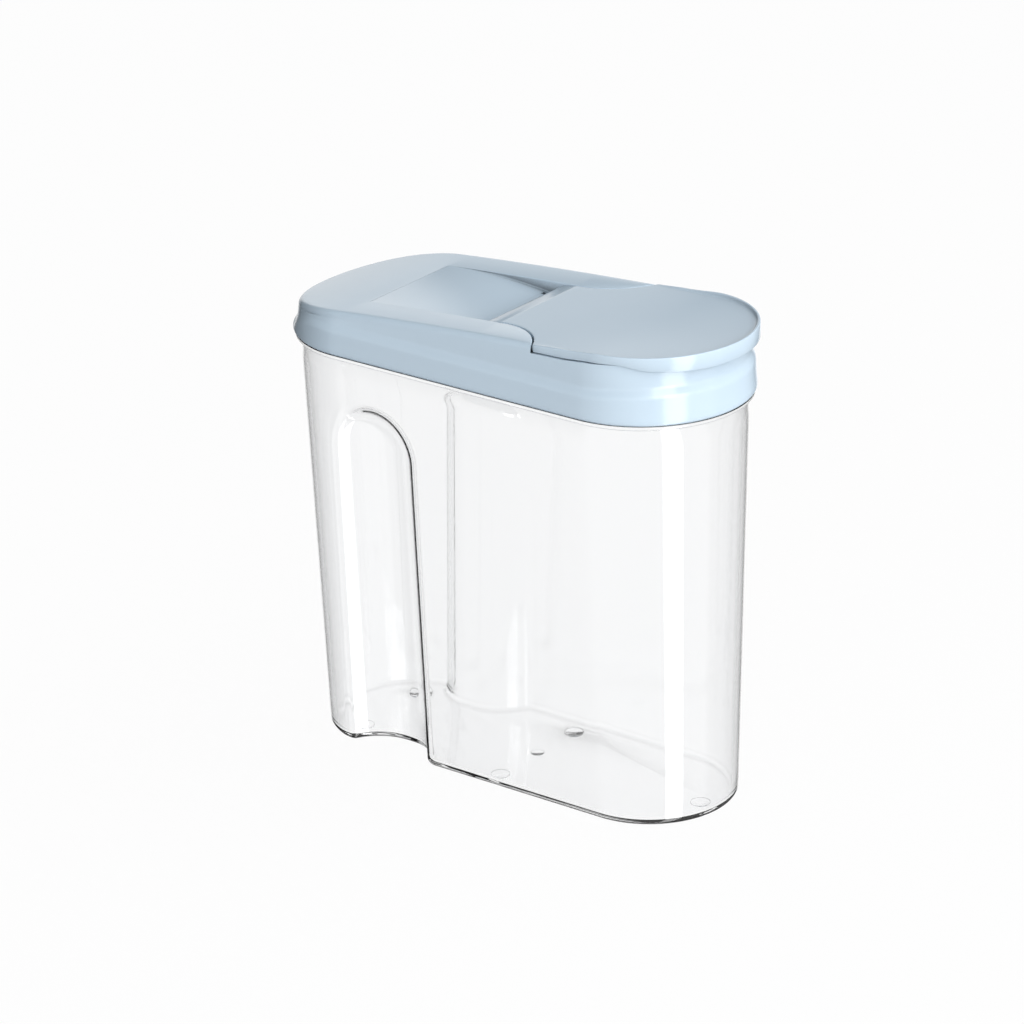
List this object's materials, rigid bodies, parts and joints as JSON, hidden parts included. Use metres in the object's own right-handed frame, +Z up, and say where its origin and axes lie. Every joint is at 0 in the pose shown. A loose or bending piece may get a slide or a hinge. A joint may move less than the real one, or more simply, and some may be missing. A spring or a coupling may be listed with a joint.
{
  "type": "cereal container",
  "caption": "Slim clear tub with rounded ends and grip recesses, under a sloping lid whose front flap flips up over a pour spout.",
  "frame": {"origin": "centre of the tub's base, on the surface it stands on, midway between its two round ends", "axes": "+Z up out of the tub, +X along its length to the spout end under the flap's nose, +Y to its left side"},
  "size_m": [0.2146, 0.089, 0.2058],
  "materials": {
    "clear_plastic": "clear polished moulding",
    "lid_plastic": "pale blue-grey satin gloss moulding",
    "silicone": "milky silicone"
  },
  "bodies": {
    "tub": {"tub": "clear_plastic"},
    "lid": {"lid": "lid_plastic", "lid_seal": "silicone"},
    "flap": {"flap": "lid_plastic", "spout_seal": "silicone"}
  },
  "joints": [
    {"name": "lid_lift", "type": "slide", "parent": "tub", "child": "lid", "axis": [0, 0, 1], "range_m": [0, 0.06]},
    {"name": "flap_hinge", "type": "hinge", "parent": "lid", "child": "flap", "pos_m": [0.0036, 0, 0.19664], "axis": [0, -1, 0], "range_deg": [0, 155]}
  ]
}
